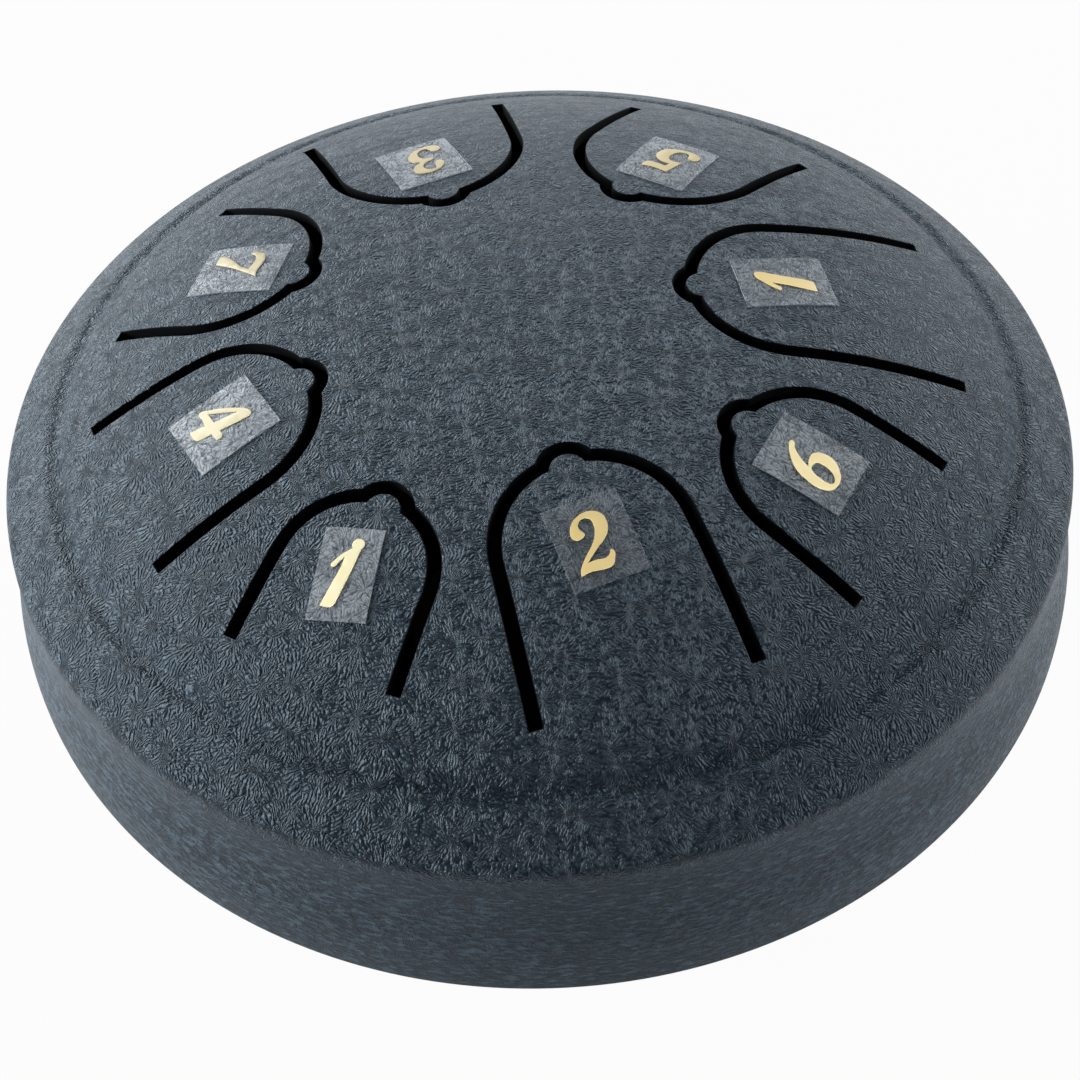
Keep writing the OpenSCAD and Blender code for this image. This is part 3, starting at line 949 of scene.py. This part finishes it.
class DRUM_OT_bottom_shell(DrumOperator):
    """Spins the dished bottom shell and drills the holes for the foot screws"""
    bl_idname = "drum.bottom_shell"
    bl_label = "Bottom shell"

    def execute(self, context):
        s, feet = context.scene.drum_shell, context.scene.drum_feet
        # The flare ends and the belt ends above the lip's bend, from the lowest point of the lip
        flare_end = (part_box("top_shell")[0].z + s.lip_bend * math.sin(s.lip_curl)
                     + s.belt_straight)
        belt_end = flare_end - s.belt_straight
        rim = s.shoulder_radius + s.belt_step - s.sheet - s.seam_gap
        knuckle = s.lip_bend - s.sheet - s.seam_gap
        # The rim goes up until the flare closes most of the gap of the seam
        rim_over = 0.8 * math.sqrt(2 * (flare_bend(s) - s.sheet) * s.seam_gap)
        knuckle_end, wall_end = UPRIGHT + s.knuckle_turn, UPRIGHT + s.wall_turn
        drop = (belt_end + knuckle * math.cos(knuckle_end)
                - s.base_bend * (1 + math.cos(wall_end)) - s.base_height)
        wall = drop / (math.cos(knuckle_end) - math.cos(wall_end))
        start = Vector((rim, flare_end + rim_over))
        pan = start_at("drum_bottom", start.x, 0, start.y)
        draw_runs((0, belt_end - start.y))
        point, _, way = draw_chain(Vector((rim, belt_end)), UPRIGHT, [
            (knuckle, knuckle_end, 0.0), (wall, wall_end, 0.0), (s.base_bend, math.pi, 0.0)])
        sixth = (point.x - s.sound_hole_radius) / 6
        draw_runs(*[(-sixth, 0)] * 6, (0, s.sheet), *[(sixth, 0)] * 6)
        draw_back(way)
        draw_runs((0, start.y - belt_end))
        choose(pan, "VERT", lambda vertex: abs(vertex.co.z - start.y) < 0.01 * MM)
        bpy.ops.mesh.edge_face_add()
        hole = Vector((s.sound_hole_radius, s.base_height))
        round_corners(pan, [start, start - Vector((s.sheet, 0)), hole,
                            hole + Vector((0, s.sheet))], s.edge_round)
        spin_round(pan, s.segments)
        drills = []
        for i, (where, _) in enumerate(ring_places(feet, s.base_height)):
            bpy.ops.object.select_all(action="DESELECT")
            bpy.ops.mesh.primitive_cylinder_add(vertices=48, radius=feet.screw / 2 + SCREW_ROOM,
                                                depth=20 * MM, location=where)
            drills.append(settle(added(f"drill_{i}")))
        cut_away(pan, join_into(drills[0], drills[1:]))
        merge_doubles(pan, SAME_POINT)
        mark_inside(pan, turned_in)
        smooth(pan, 38)
        coat = frost_coat("frost_coat_bottom", context.scene.drum_coat, 0.0, -0.6)
        dress(pan, coat, "bottom_shell", slot="coated_steel",
              inside=bpy.data.materials["inside_coat_and_shade"])
        return {"FINISHED"}


# Outlines of the numbers in hundredths of their height: x and y of each point, with a 1 at the
# corners
INK = {
    "1": [[(4, -4, 1), (28, -4, 1), (34, 10), (41, 36), (50, 66), (58, 92), (56.5, 99), (50, 101),
        (42, 98.5), (32, 90), (22, 81), (12, 70), (8.5, 63), (13, 60.5), (21, 68), (29.5, 76, 1),
        (22, 50), (13, 24)]],
    "dotted 1": [[(3, -4.5, 1), (24, -4), (29, 6), (35, 27), (42, 52), (48, 78), (50.5, 90.5, 1),
        (54, 95), (54.5, 101), (51, 106.5), (44, 108.5), (37, 105.5), (34, 98.5), (36.5, 92, 1),
        (30, 87.5), (20, 80), (12, 71), (6.5, 61), (12, 59.5), (19, 68), (26.5, 76.5, 1), (24, 60),
        (17, 38), (8, 12)]],
    "2": [[(-12, -2, 1), (-8, 9), (0, 19), (10, 29), (21, 39), (30, 49), (36.5, 61), (39.5, 74),
        (38, 84), (33, 88.5), (27, 89.5), (20, 86.5), (15.5, 80), (15.5, 73), (18.5, 67.5),
        (20.5, 63.5), (17, 59), (9, 56.5), (1, 59), (-2, 66), (0, 76), (7, 87), (20, 96),
        (36, 99.5), (50, 96), (60, 86), (62, 74), (58, 58), (48, 46), (32, 35), (18, 25),
        (6, 15.5, 1), (20, 16.3), (38, 14.5), (45, 19), (50, 24.5), (53.5, 20), (50, 9), (43, -1),
        (34, -3), (20, -2), (5, 0)]],
    "3": [[(-2, 72), (2, 84), (12, 94), (28, 100), (44, 99), (57, 92), (61, 80), (57, 68),
        (46, 58), (40, 54.5), (51, 46), (55, 30), (50, 14), (38, 2), (20, -6), (2, -7), (-12, 0),
        (-16, 10), (-12, 20), (-4, 23), (4, 19), (6, 10), (10, 3), (18, 2), (28, 8), (33, 20),
        (33, 34), (27, 43), (14, 46.5), (11.5, 50.5), (15, 54.5), (27, 57), (37, 66), (40, 78),
        (36, 88), (27, 92), (20, 90), (17, 83), (16, 74), (11, 65), (3, 64)]],
    "4": [[(42, 96.5), (50, 97.5), (54.5, 93), (53, 80), (49, 60), (44, 37.5, 1), (56, 37.5),
        (60, 33), (58.5, 24, 1), (40, 23.5, 1), (37.5, 12), (33, -1), (25, -5), (6, -4, 1),
        (10, 8), (14.5, 22.5, 1), (0, 25), (-18, 26.5), (-19, 31), (-12, 42), (0, 58), (12, 72),
        (25, 85), (35, 93.5)],
          [(32, 79, 1), (27, 61), (21, 38, 1), (-4.5, 38.5, 1), (7, 51.5), (20, 67)]],
    "5": [[(18, 93, 1), (38, 90.5), (56, 91), (69, 95, 1), (68.5, 83), (63, 74.5), (48, 72.5),
        (29, 74, 1), (25, 61.5, 1), (38, 61), (52, 56), (62, 44), (64, 28), (58, 12), (44, 0),
        (24, -7), (4, -7), (-10, 0), (-14, 10), (-10, 20), (-2, 23), (6, 19), (8, 10), (12, 3),
        (20, 1), (32, 8), (38, 22), (38, 36), (32, 46), (22, 49), (14, 47), (7, 44, 1), (12, 68)]],
    "6": [[(48, 96.5), (50.5, 93), (48, 88.5), (40, 85), (31, 74), (24, 62), (19.5, 50, 1),
        (29, 54.5), (40, 56.5), (51, 53), (58, 42), (60, 30), (56, 16), (46, 5), (33, -3),
        (18, -4.5), (5, -1), (-4, 10), (-7.5, 26), (-5, 44), (1, 62), (12, 76), (25, 87),
        (37, 94)],
          [(19, 44.5), (28, 45.5), (35.5, 41.5), (38, 33), (36, 18), (30, 8), (21, 3), (14, 5),
        (11, 13), (11.5, 26), (14.5, 38)]],
    "7": [[(-11, 62.5), (-6, 62), (-1, 70), (8, 75.5), (24, 75.5), (39, 72, 1), (30, 53), (14, 34),
        (0, 16), (-9, -5, 1), (4, -6.5), (17, -5, 1), (22, 8), (30, 30), (42, 56), (52, 76),
        (61, 94.5, 1), (45, 91.5), (28, 94), (12, 95.5), (-2, 90), (-9, 78)]],
}
NUMBERS = ["1", "2", "3", "4", "5", "6", "7", "dotted 1"]


def ink_number(name, loops, looks):
    """One number as a thin slab of foil with rounded edges, flat in plan."""
    select_nothing()
    bpy.ops.curve.primitive_bezier_curve_add(location=(0, 0, 0))
    ink = added(name)
    curve = ink.data
    curve.dimensions = "2D"
    curve.fill_mode = "BOTH"
    curve.resolution_u = 5
    curve.bevel_depth = looks.foil_edge
    curve.bevel_resolution = 2
    curve.offset = -looks.foil_edge
    curve.extrude = looks.foil / 2 - looks.foil_edge
    curve.splines.clear()
    for points in loops:
        spline = curve.splines.new("BEZIER")
        spline.use_cyclic_u = True
        spline.bezier_points.add(len(points) - 1)
        for knot, (x, y, *corner) in zip(spline.bezier_points, points):
            knot.co = ((x / 100 - 0.33) * looks.number_height,
                       (y / 100 - 0.5) * looks.number_height, 0)
            knot.handle_left_type = knot.handle_right_type = "VECTOR" if corner else "AUTO"
    only(ink)
    bpy.ops.object.convert(target="MESH")
    merge_doubles(ink, 0.002 * MM)
    edit(ink)
    cut_fields(5, 1.0 * MM)
    face_out(ink)
    return named(ink, name)


class DRUM_OT_note_labels(DrumOperator):
    """Lays a film with its number on each tongue"""
    bl_idname = "drum.note_labels"
    bl_label = "Note labels"

    def execute(self, context):
        s, slot = context.scene.drum_shell, context.scene.drum_slots
        looks, dome = context.scene.drum_labels, Dome(s)
        edge = film_edge_material()
        for i, (tongue, label) in enumerate(zip(TONGUES, LABELS)):
            node, tip_turn, lean, tip, arch, _ = tongue
            long, wide, along, aside, turn = label
            tongue_turn = math.radians(tip_turn + lean)
            axis = direction(tongue_turn)
            at = (tip * direction(math.radians(tip_turn))
                  + (arch + slot.nub_height / MM + along) * axis + aside * across(axis)) * MM
            turn = tongue_turn + math.radians(turn)
            bpy.ops.object.select_all(action="DESELECT")
            bpy.ops.mesh.primitive_grid_add(x_subdivisions=36, y_subdivisions=28, size=1)
            film = added(node.replace("note_label", "film"))
            film.scale = (long * MM, wide * MM, 1)
            settle(film)
            wrinkles = bpy.data.textures.new("wrinkles", "CLOUDS")
            wrinkles.noise_scale = 1.6 * MM
            finish_modifier(film, "DISPLACE", "wrinkles", texture=wrinkles, strength=0.05 * MM,
                            mid_level=0.5, texture_coords="LOCAL", direction="Z")
            finish_modifier(film, "SOLIDIFY", "film", thickness=looks.film, offset=1)
            mark_inside(film, lambda face: abs(face.normal.z) < 0.5)
            place(film, (at.x, at.y, looks.film_gap + 0.02 * MM), turn)
            press_on_dome(film, dome)
            smooth(film, 60, weighted=False)
            material = film_material(f"label_film_{i + 1}", looks, context.scene.drum_coat,
                                     s.shoulder_height + ABOVE_FOLD, HAZES_WITH_PAINTED_REFLECTION[i])
            dress(film, material, node, slot="label_film", inside=edge)
            self.number(looks, i, at, turn, dome)
        return {"FINISHED"}

    def number(self, looks, i, at, turn, dome):
        name = "number_" + TONGUES[i][0].replace("note_label_", "")
        ink = ink_number(name, INK[NUMBERS[i]], looks)
        lift = looks.film_gap + looks.film + looks.foil / 2 + 0.03 * MM
        place(ink, (at.x, at.y, lift), turn + UPRIGHT)
        press_on_dome(ink, dome)
        smooth(ink, 50, weighted=False)
        dress(ink, gold_material(f"gold_ink_{i + 1}", looks, *INKS_WITH_PAINTED_LIGHT[i]), slot="label_film")
        bpy.data.collections[PRINTED].objects.link(ink)


class DRUM_OT_feet(DrumOperator):
    """Makes a moulded rubber foot and sets three of them under the drum"""
    bl_idname = "drum.feet"
    bl_label = "Feet"

    def execute(self, context):
        s, f = context.scene.drum_shell, context.scene.drum_feet
        top, bore, pocket = s.base_height, f.screw / 2 + SCREW_ROOM, f.head / 2 + 0.5 * MM
        foot = start_at("foot", bore, 0, top)
        draw_runs((f.top_radius - bore, 0), (f.tip_radius - f.top_radius, -top),
                  (pocket - f.tip_radius, 0), (0, top - f.web), (bore - pocket, 0), (0, f.web))
        merge_doubles(foot, SAME_POINT)
        round_corners(foot, [Vector((f.tip_radius, 0))], 1.0 * MM, 5)
        round_corners(foot, [Vector((f.top_radius, top))], 0.3 * MM, 2)
        round_corners(foot, [Vector((pocket, 0))], 0.3 * MM, 3)
        spin_round(foot, 96)
        smooth(foot, 40)
        rubber = rubber_material()
        for node, (where, turn) in zip(FOOT_NODES, ring_places(f)):
            piece = copy_of(foot, node.replace("rubber_", "") + "_rubber")
            place(piece, where, turn)
            dress(piece, rubber, node, slot="foot_rubber")
        bpy.data.objects.remove(foot, do_unlink=True)
        return {"FINISHED"}


class DRUM_OT_fasteners(DrumOperator):
    """Makes the pan-head screws, the washers and the nuts of the feet"""
    bl_idname = "drum.fasteners"
    bl_label = "Fasteners"

    def execute(self, context):
        s, f = context.scene.drum_shell, context.scene.drum_feet
        zinc = plated_material()
        inside = s.base_height + s.sheet
        nut_low = inside + f.washer_height
        wholes = (self.screw(f, s.base_height - f.web, nut_low + f.nut_height + f.screw_out),
                  self.washer(f, inside), self.nut(f, nut_low))
        for whole, name in zip(wholes, ("screws", "washers", "nuts")):
            set_of = []
            for i, (where, turn) in enumerate(ring_places(f)):
                piece = copy_of(whole, f"{name}_{i}")
                set_of.append(place(piece, where, turn + math.radians(17 * i)))
            bpy.data.objects.remove(whole, do_unlink=True)
            group = named(join_into(set_of[0], set_of[1:]), "plated_" + name)
            dress(group, zinc, "foot_" + name, slot="plated_steel")
        return {"FINISHED"}

    def screw(self, f, seat, tip):
        """A rounded head with a cross recess, and a shaft with a chamfered end."""
        chamfer, face = 0.35 * MM, seat - f.head_height
        screw = start_at("screw", 0, 0, face)
        draw_runs((f.head * 0.30, 0), (f.head * 0.14, 0.22 * MM), (f.head * 0.06, 0.42 * MM),
                  (0, f.head_height - 0.64 * MM), (f.screw / 2 - f.head / 2, 0),
                  (0, tip - seat - chamfer), (-chamfer, chamfer), (chamfer - f.screw / 2, 0))
        spin_round(screw, 64)
        for turn in (0.0, UPRIGHT):
            bpy.ops.object.select_all(action="DESELECT")
            bpy.ops.mesh.primitive_cube_add(size=1, location=(0, 0, face + 0.2 * MM),
                                            scale=(3.2 * MM, 0.75 * MM, 1.5 * MM),
                                            rotation=(0, 0, turn))
            cut_away(screw, settle(added("cross")))
        merge_doubles(screw, SAME_POINT)
        smooth(screw, 32)
        return screw

    def washer(self, f, low):
        edge, bore = f.washer / 2, f.screw / 2 + SCREW_ROOM
        washer = start_at("washer", bore, 0, low)
        draw_runs((edge - bore, 0), (0, f.washer_height), (bore - edge, 0), (0, -f.washer_height))
        merge_doubles(washer, SAME_POINT)
        round_corners(washer, [Vector((edge, low)), Vector((edge, low + f.washer_height))],
                      0.12 * MM, 2)
        spin_round(washer, 64)
        smooth(washer, 32)
        return washer

    def nut(self, f, low):
        """A hexagon whose corners are turned off, with a plain hole for its thread."""
        middle = (0, 0, low + f.nut_height / 2)
        select_nothing()
        bpy.ops.mesh.primitive_cylinder_add(vertices=6, radius=f.nut / math.sqrt(3),
                                            depth=f.nut_height, location=middle)
        nut = settle(added("nut"))
        turned = start_at("turned", 0, 0, low)
        flat, corner, off = f.nut / 2 * 0.97, f.nut / math.sqrt(3) + 0.1 * MM, 0.35 * MM
        draw_runs((flat, 0), (corner - flat, off), (0, f.nut_height - 2 * off),
                  (flat - corner, off), (-flat, 0))
        spin_round(turned, 64)
        cut_away(nut, turned, "INTERSECT")
        select_nothing()
        bpy.ops.mesh.primitive_cylinder_add(vertices=48, radius=f.screw / 2 + 0.05 * MM,
                                            depth=9 * MM, location=middle)
        cut_away(nut, settle(added("bore")))
        merge_doubles(nut, SAME_POINT)
        smooth(nut, 30)
        return nut


class DRUM_OT_stage(DrumOperator):
    """Sets the floor, the even light, the soft lamps and the camera"""
    bl_idname = "drum.stage"
    bl_label = "Stage"

    def execute(self, context):
        scene, looks = context.scene, context.scene.drum_stage
        scene.view_settings.view_transform = "Standard"
        select_nothing()
        bpy.ops.mesh.primitive_plane_add(size=6.0, location=(0, 0, 0))
        floor = added("floor")
        floor.data.materials.append(self.floor_material(looks))
        self.world(scene, looks)
        for name, share, size, where in LAMPS:
            self.lamp(name, looks.lamps * share, size, where)
        # The printed gold catches the light of one more soft lamp in front, which only it gets
        glint = self.lamp("lamp_gold", looks.glint, 0.40, (0.0, -0.70, 0.30))
        glint.light_linking.receiver_collection = bpy.data.collections.new(PRINTED)
        self.camera(scene, looks)
        return {"FINISHED"}

    def floor_material(self, looks):
        """White to the camera and in mirror images, and plain grey to all other light. Under the
        drum its colour is painted near black, a painted shadow.
        """
        shader = Shader("pale_floor")
        near = shader.vector("LENGTH", shader.level(shader.place()))
        # Painted shadow: under the drum the floor is painted near black, so the slots look dark
        beyond_painted_shadow = shader.range(near, 0.030, 0.040, easing="SMOOTHSTEP")
        shader.set(Base_Color=shader.mix(beyond_painted_shadow, (0.01, 0.01, 0.01), looks.floor), Roughness=0.9,
                   Specular_IOR_Level=0.1)
        # Under the drum it is left dark, because the glow would shine up through the sound hole,
        # and what the drum's own shadow covers isn't mirrored
        shown = shader.seen() * shader.range(near, 0.032, 0.046, 0.0, 0.965, easing="SMOOTHSTEP")
        mirrored = shader.node("LightPath", "Is Glossy Ray") * shader.range(
            near, 0.078, 0.101, 0.0, 0.95, easing="SMOOTHSTEP")
        glow = shader.node("Emission", feeds={"Color": WHITE, "Strength": 1.0})
        shader.feed(shader.output.inputs["Surface"], shader.node("MixShader", feeds={
            0: shader.math("MAXIMUM", shown, mirrored), 1: shader.surface, 2: glow}))
        return shader.material

    def world(self, scene, looks):
        """White to the camera, and a faint even light from all round."""
        scene.world = bpy.data.worlds.new("studio")
        scene.world.use_nodes = True
        nodes = Nodes(scene.world.node_tree, "ShaderNodeOutputWorld")
        light, shown = (nodes.node("Background", feeds={"Color": WHITE, "Strength": strength})
                        for strength in (looks.sky, 1.0))
        nodes.feed(nodes.output.inputs["Surface"],
                   nodes.node("MixShader", feeds={0: nodes.seen(), 1: light, 2: shown}))

    def lamp(self, name, power, size, where):
        bpy.ops.object.select_all(action="DESELECT")
        bpy.ops.object.light_add(type="AREA", location=where)
        lamp = bpy.context.object
        lamp.name = name
        lamp.data.energy = power
        lamp.data.size = size
        way = Vector(LAMPS_AIM) - Vector(where)
        lamp.rotation_euler = way.to_track_quat("-Z", "Y").to_euler()
        return lamp

    def camera(self, scene, looks):
        bpy.ops.object.camera_add()
        camera = bpy.context.object
        right = Vector(CAMERA_RIGHT).normalized()
        ahead = Vector(CAMERA_AHEAD)
        back = -(ahead - ahead.dot(right) * right).normalized()
        turned = Matrix((right, back.cross(right), back)).transposed().to_4x4()
        height = scene.drum_shell.shoulder_height + looks.camera_up
        camera.matrix_world = Matrix.Translation((0, -looks.camera_back, height)) @ turned
        camera.data.sensor_width = 36.0
        camera.data.lens = looks.lens
        camera.data.clip_start = 0.01
        scene.camera = camera


class DRUM_PT_panel(bpy.types.Panel):
    bl_idname = "DRUM_PT_panel"
    bl_label = "Tongue Drum"
    bl_space_type = "VIEW_3D"
    bl_region_type = "UI"
    bl_category = "Tongue Drum"

    def draw(self, context):
        for name, label in GROUPS:
            box = self.layout.box()
            box.label(text=label)
            group = getattr(context.scene, name)
            for key in group.__annotations__:
                box.prop(group, key)
        for operator in STEPS:
            self.layout.operator(operator.bl_idname)


GROUPS = [("drum_shell", "Shells"), ("drum_slots", "Slots"), ("drum_coat", "Coat"),
          ("drum_labels", "Labels"), ("drum_feet", "Feet"), ("drum_stage", "Stage")]
SETTINGS = [ShellSizes, SlotSizes, CoatLooks, LabelLooks, FootSizes, StageLooks]
STEPS = [DRUM_OT_stage, DRUM_OT_top_shell, DRUM_OT_bottom_shell, DRUM_OT_note_labels, DRUM_OT_feet,
         DRUM_OT_fasteners]


def register():
    for item in SETTINGS + STEPS + [DRUM_PT_panel]:
        bpy.utils.register_class(item)
    for (name, _), kind in zip(GROUPS, SETTINGS):
        setattr(bpy.types.Scene, name, PointerProperty(type=kind))


def unregister():
    for name, _ in GROUPS:
        delattr(bpy.types.Scene, name)
    for item in reversed(SETTINGS + STEPS + [DRUM_PT_panel]):
        bpy.utils.unregister_class(item)


def main():
    register()
    bpy.ops.drum.stage()
    bpy.ops.drum.top_shell()
    bpy.ops.drum.bottom_shell()
    bpy.ops.drum.note_labels()
    bpy.ops.drum.feet()
    bpy.ops.drum.fasteners()


if __name__ == "__main__":
    main()
